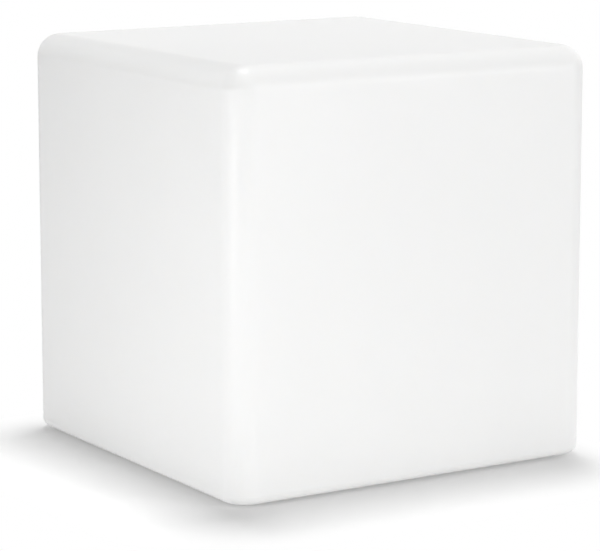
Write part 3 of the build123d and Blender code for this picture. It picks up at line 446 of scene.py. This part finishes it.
def knurled_inserts(node, spots):
    """The node's threaded inserts at those spots, each with its bore."""
    low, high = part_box(node)
    outer = high.x - max(x for x, y in spots)
    bore = pan_heads["M5"]["radius"] + insert_thread_gap
    mid = (low.z + high.z) / 2
    groove = outer - groove_depth
    bevel = knurl_bevel

    def knurl(angle):
        return outer - knurl_depth * (0.5 - 0.5 * cos(angle * knurl_teeth))

    profile = [
        (bore, low.z), (groove, low.z), (knurl, low.z + bevel), (knurl, mid - 2 * bevel),
        (groove, mid - bevel), (groove, mid + bevel),
        (knurl, mid + 2 * bevel), (knurl, high.z - bevel), (groove, high.z), (bore, high.z),
    ]
    mesh = bmesh.new()
    for x, y in spots:
        rings = rings_of(profile, tooth_points * knurl_teeth)
        skin(mesh, rings, Matrix.Translation((x, y, 0)), closed=True)
    add_piece(node + "_knurled", mesh, slot_of[node], "body", node)


knurled_inserts("foot_inserts", foot_spots)
knurled_inserts("ring_inserts", ring_spots)


# Cable gland: a hexagon between two threads, and a domed clamping nut with grip ribs
gland_pitch = 0.0015
gland_thread_depth = 0.0009
gland_thread = 0.008
gland_spigot = 0.009
gland_bore = 0.0052
seal_gap = 0.00015
gland_count = 72
hex_height = 0.005
hex_corner = 0.0003
hex_bevel = 0.0006
bevel_flats = 0.0014
bevel_corner = 0.0009
grip_ribs = 36
grip_depth = 0.0004
grip_corner = 0.0009
grip_bevel = 0.0004
grip_top_bevel = 0.0008
rib_points = 6
gland_nut_mouth = 0.0055
gland_nut_lip = [(0.0, 0.0006), (0.0005, 0.0), (0.0012, 0.0001)]
gland_nut_dome = [(0.0088, 0.0026), (0.0102, 0.0056)]
gland_nut_shoulder = 0.0106
gland_nut_step = 0.0001
gland_nut_grip = 0.0076


def hexagon(flats, edge=0.0):
    """A radius function for a hexagon that wide across its flats, with its corners taken in by the edge."""
    corner = flats / 2 / cos(pi / 6) - edge

    def radius(angle):
        return min(corner, flats / 2 / cos((angle + pi / 6) % (pi / 3) - pi / 6))

    return radius


def make_gland():
    """The gland's body and nut, about the cable's upright axis."""
    low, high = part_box("gland_body")
    centre = ((low.x + high.x) / 2, (low.y + high.y) / 2, 0)
    seal_low, seal_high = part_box("gland_seal")
    seal_radius = (seal_high.x - seal_low.x) / 2 + seal_gap
    washer_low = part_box("gland_washer")[0].z
    flats = high.y - low.y
    hex_low = washer_low - hex_height
    full = hexagon(flats, hex_corner)
    taken = hexagon(flats - bevel_flats, bevel_corner)
    profile = [(seal_radius, low.z), (seal_radius, seal_high.z)]
    profile += [(gland_bore, seal_high.z), (gland_bore, high.z)]
    root = gland_thread - gland_thread_depth
    profile += thread_rings(root, gland_thread, gland_pitch, high.z, washer_low, gland_count)
    profile += [(taken, washer_low), (full, washer_low - hex_bevel)]
    profile += [(full, hex_low + hex_bevel), (taken, hex_low)]
    root = gland_spigot - gland_thread_depth
    profile += thread_rings(root, gland_spigot, gland_pitch, hex_low, low.z, gland_count)
    turned("gland_body_threaded", "carrier", "gland_body", profile, centre, gland_count)

    low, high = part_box("gland_nut")
    dome = high.z - gland_nut_grip

    def ribbed(angle):
        return min(full(angle), flats / 2 + grip_corner) - grip_depth * (0.5 + 0.5 * cos(angle * grip_ribs))

    bore = gland_spigot + seal_gap
    profile = [(gland_nut_mouth + out, low.z + rise) for out, rise in gland_nut_lip]
    profile += [(radius, low.z + rise) for radius, rise in gland_nut_dome]
    profile += [(gland_nut_shoulder, dome - grip_bevel), (ribbed, dome + grip_bevel)]
    profile += [(ribbed, high.z - grip_top_bevel), (gland_nut_shoulder, high.z - gland_nut_step)]
    profile += [(bore, high.z), (bore, seal_low.z), (gland_nut_mouth, seal_low.z)]
    turned("gland_nut_ribbed", "carrier", "gland_nut", profile, centre, rib_points * grip_ribs)


make_gland()


# Lamp cap and lampholder shell: one E27 thread, rolled in thin sheet on both, and in step at rest
cap_pitch = 0.003629
cap_root = 0.01215
cap_crest = 0.01305
cap_sheet = 0.00035
cap_count = 64
cap_steps = 12
cap_thread_start = 0.0012
cap_thread_end = 0.0062
cap_flare_foot = 0.0040
cap_flare_foot_inside = 0.0042
shell_sheet = 0.0004
shell_floor = 0.0005
shell_bend = 0.0004
shell_inlet = 0.0108
shell_thread_start = 0.0030
shell_thread_end = 0.0015
tongue_half = 0.003
tongue_end = 0.0035
tongue_corner = 0.001
tongue_overlap = 0.0005
insulator_hole = 0.001
insulator_gap = 0.0006
lamp_neck_radius = 0.0143
neck_bevel = 0.0004
neck_lift = 0.001
housing_wall = 0.0016
spigot_gap = 0.0002
board_gap = 0.0002
board_ledge = 0.0022
flare_lean = 0.45
flare_reach = 0.0095
flare_lean_inside = 0.3
flare_reach_inside = 0.0085
curve_steps = 12

# Rounded ends, as points of (inset, distance along the axis from the end)
cap_mouth = [(0.0006, 0.0), (0.0001, 0.0004)]
cap_mouth_inside = [(0.0001, 0.0006), (0.0006, 0.0)]
cap_flare = [(0.0001, 0.0024), (0.0, 0.0003), (0.0003, 0.0)]
cap_flare_inside = [(0.0003, 0.0), (0.0001, 0.0024)]
insulator_foot = [(-0.0006, 0.0), (-0.0012, 0.0003)]
insulator_rim = [(0.0008, 0.0013), (0.0, 0.0008), (0.0, 0.0)]


def make_lamp_cap():
    """The lamp's threaded cap, flared at its top to hold the housing."""
    low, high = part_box("bulb_cap")
    flare = high.x
    start, end = low.z + cap_thread_start, high.z - cap_thread_end
    inner_root, inner_crest = cap_root - cap_sheet, cap_crest - cap_sheet
    outside = thread_rings(cap_root, cap_crest, cap_pitch, start, end, cap_count, steps=cap_steps)
    inside = thread_rings(inner_root, inner_crest, cap_pitch, end, start, cap_count, steps=cap_steps)
    profile = [(cap_root - inset, low.z + rise) for inset, rise in cap_mouth] + outside
    profile += [(cap_crest, high.z - cap_flare_foot)]
    profile += [(flare - inset, high.z - drop) for inset, drop in cap_flare]
    profile += [(flare - cap_sheet - inset, high.z - drop) for inset, drop in cap_flare_inside]
    profile += [(inner_crest, high.z - cap_flare_foot_inside)] + inside
    profile += [(inner_root - inset, low.z + rise) for inset, rise in cap_mouth_inside]
    turned("bulb_cap_threaded", "lamp", "bulb_cap", profile, count=cap_count)


def make_screw_shell():
    """The lampholder's threaded shell, with its floor ring and the tongue to the rivet."""
    low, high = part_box("screw_shell")
    outer = high.x
    crest = outer - shell_sheet
    root = crest - (cap_crest - cap_root)
    floor = low.z + shell_floor
    start, end = low.z + shell_thread_start, high.z - shell_thread_end
    rows = {"count": cap_count, "steps": cap_steps, "outward": False}
    outside = thread_rings(root + shell_sheet, outer, cap_pitch, start, end, **rows)
    inside = thread_rings(root, crest, cap_pitch, end, start, **rows)
    profile = [(shell_inlet, low.z), (outer - shell_bend, low.z), (outer, low.z + shell_bend)] + outside
    profile += [(outer, high.z), (crest, high.z)] + inside
    profile += [(crest, floor + shell_bend), (crest - shell_bend, floor), (shell_inlet, floor)]
    mesh = bmesh.new()
    skin(mesh, rings_of(profile, cap_count), closed=True)
    ends = (-shell_inlet - tongue_overlap, -tongue_end)
    outline = [(ends[0], -tongue_half), (ends[1] - tongue_corner, -tongue_half)]
    outline += [(ends[1], tongue_corner - tongue_half)]
    outline += [(x, -y) for x, y in reversed(outline)]
    skin(mesh, [[Vector((x, y, z)) for x, y in outline] for z in (low.z, floor)])
    add_piece("screw_shell_threaded", mesh, slot_of["screw_shell"], "carrier", "screw_shell")


def curve_between(first, second, lean_first, lean_second, reach):
    """Points of (radius, z) on a smooth curve from first to second, with those leans at its ends."""
    points = []
    for i in range(curve_steps + 1):
        t = i / curve_steps
        weights = ((1 - t) ** 3, 3 * t * (1 - t) ** 2, 3 * t * t * (1 - t), t**3)
        handles = (
            first,
            (first[0] + lean_first * reach, first[1] + reach),
            (second[0] - lean_second * reach, second[1] - reach),
            second,
        )
        points.append(tuple(sum(w * handle[axis] for w, handle in zip(weights, handles)) for axis in (0, 1)))
    return points


def make_lamp_body():
    """The lamp's insulator and its flared housing, whose spigot fits inside the threaded cap."""
    low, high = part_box("bulb_insulator")
    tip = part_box("bulb_tip")[1].x
    rim = cap_root - cap_sheet - insulator_gap
    profile = [(insulator_hole, low.z)]
    profile += [(tip - inset, low.z + rise) for inset, rise in insulator_foot]
    profile += [(rim - inset, high.z - drop) for inset, drop in insulator_rim]
    profile += [(insulator_hole, high.z)]
    turned("bulb_insulator_glazed", "lamp", "bulb_insulator", profile)

    low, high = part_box("bulb_housing")
    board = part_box("bulb_led_board")
    cap_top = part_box("bulb_cap")[1].z
    neck = lamp_neck_radius
    neck_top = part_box("holder_seal")[1].z + neck_lift
    spigot = cap_root - cap_sheet - spigot_gap
    seat = board[1].x + board_gap
    outer = curve_between((neck, neck_top), (high.x, high.z), 0, flare_lean, flare_reach)
    lower, upper = (neck - housing_wall, neck_top), (seat - board_ledge, board[0].z)
    inner = curve_between(lower, upper, 0, flare_lean_inside, flare_reach_inside)
    profile = [(spigot - housing_wall, low.z), (spigot, low.z), (spigot, cap_top)]
    profile += [(neck - neck_bevel, cap_top), (neck, cap_top + neck_bevel)] + outer
    profile += [(seat, high.z), (seat, board[0].z)] + inner[::-1]
    profile += [(spigot - housing_wall, cap_top)]
    turned("bulb_housing_flared", "lamp", "bulb_housing", profile)


make_lamp_cap()
make_screw_shell()
make_lamp_body()


# Floor, world and lamps
floor_size = 24.0
# The shadow rectangle sits off-centre towards the front-left, so painted white light on the floor covers the
# shadow's wings and its right end, even beside the cube.
shadow_middle = Vector((-0.055, -0.045, 0))
shadow_half = Vector((0.145, 0.145, 0))
shadow_reach = 0.07
white_reach = 0.15
floor_lift = 0.105
world_level = 0.26
sun_strength = 1.76
overhead_watts = 71
left_watts = 5.2
sun_angle = 24
floor_paint = (0.895, 0.905)
floor_grain = 900
overhead_place = Vector((0.21, 0.34, 3.7))
overhead_size = (0.7, 0.86)
sun_towards = (-0.62, 1.0, -0.12)
left_place = (-1.2, -0.43, 0.2)
left_aim = (-0.2, 0, 0.2)
left_size = (0.5, 0.4)


def make_floor():
    """A white floor that keeps the object's shadow near an off-centre rectangle and is plain white further
    out, where painted white light covers the shadow's wings and its right end.
    """
    mesh = bpy.data.meshes.new("floor")
    half = floor_size / 2
    corners = [(-half, -half, 0), (half, -half, 0), (half, half, 0), (-half, half, 0)]
    mesh.from_pydata(corners, [], [(0, 1, 2, 3)])
    floor = bpy.data.objects.new("floor", mesh)
    bpy.context.scene.collection.objects.link(floor)
    material = bpy.data.materials.new("floor")
    material.use_nodes = True
    tree = material.node_tree
    tree.nodes.clear()
    place = add_node(tree, "TexCoord").outputs["Object"]
    vector = add_node(tree, "VectorMath", {0: place, 1: shadow_middle}, operation="SUBTRACT").outputs[0]
    vector = add_node(tree, "VectorMath", {0: vector}, operation="ABSOLUTE").outputs[0]
    vector = add_node(tree, "VectorMath", {0: vector, 1: shadow_half}, operation="SUBTRACT").outputs[0]
    vector = add_node(tree, "VectorMath", {0: vector, 1: (0, 0, 0)}, operation="MAXIMUM").outputs[0]
    away = add_node(tree, "VectorMath", {0: vector}, operation="LENGTH").outputs["Value"]
    # Painted white light: away from the rectangle the floor shows plain white over its real shadow.
    limits = {"Value": away, "From Min": shadow_reach, "From Max": white_reach}
    far = add_node(tree, "MapRange", limits, interpolation_type="SMOOTHSTEP").outputs["Result"]
    grain = spread(tree, noise(tree, floor_grain), *floor_paint)
    paint = add_node(tree, "CombineColor", {"Red": grain, "Green": grain, "Blue": grain}).outputs["Color"]
    lit = add_node(tree, "BsdfDiffuse", {"Color": paint}).outputs[0]
    lift = add_node(tree, "Emission", {"Strength": floor_lift}).outputs[0]
    near = add_node(tree, "AddShader", {0: lit, 1: lift}).outputs[0]
    white = add_node(tree, "Emission", {"Strength": 1.0}).outputs[0]
    ray = add_node(tree, "LightPath").outputs["Is Camera Ray"]
    shown_white = add_node(tree, "Math", {0: far, 1: ray}, operation="MULTIPLY").outputs[0]
    both = add_node(tree, "MixShader", {0: shown_white, 1: near, 2: white}).outputs[0]
    add_node(tree, "OutputMaterial", {"Surface": both})
    mesh.materials.append(material)


def make_world():
    """An even sky that is plain white to the camera and in reflections."""
    world = bpy.data.worlds.new("world")
    world.use_nodes = True
    bpy.context.scene.world = world
    tree = world.node_tree
    tree.nodes.clear()
    path = add_node(tree, "LightPath").outputs
    shown = path["Is Camera Ray"]
    for ray in ("Is Glossy Ray", "Is Transmission Ray"):
        shown = add_node(tree, "Math", {0: shown, 1: path[ray]}, operation="MAXIMUM").outputs[0]
    level = add_node(tree, "Mix", {0: shown, 2: world_level, 3: 1.0}, data_type="FLOAT").outputs[0]
    background = add_node(tree, "Background", {"Color": (1, 1, 1, 1), "Strength": level})
    add_node(tree, "OutputWorld", {"Surface": background.outputs[0]})


def make_lamp(name, place, aim, size, watts):
    """A rectangular soft box at a place, turned towards a point."""
    data = bpy.data.lights.new(name, "AREA")
    data.shape = "RECTANGLE"
    data.size, data.size_y = size
    data.energy = watts
    lamp = bpy.data.objects.new(name, data)
    lamp.location = place
    lamp.rotation_mode = "QUATERNION"
    lamp.rotation_quaternion = (Vector(aim) - Vector(place)).to_track_quat("-Z", "Y")
    bpy.context.scene.collection.objects.link(lamp)


def make_sun(name, towards, strength, angle):
    """A far lamp whose light travels the same way everywhere, with soft edges to its shadow."""
    data = bpy.data.lights.new(name, "SUN")
    data.energy = strength
    data.angle = radians(angle)
    lamp = bpy.data.objects.new(name, data)
    lamp.rotation_mode = "QUATERNION"
    lamp.rotation_quaternion = Vector(towards).to_track_quat("-Z", "Y")
    bpy.context.scene.collection.objects.link(lamp)


bpy.context.scene.view_settings.view_transform = "Standard"
make_floor()
make_world()
make_lamp("overhead", overhead_place, (overhead_place.x, overhead_place.y, 0), overhead_size, overhead_watts)
make_sun("front", sun_towards, sun_strength, sun_angle)
make_lamp("left", left_place, left_aim, left_size, left_watts)
make_camera()
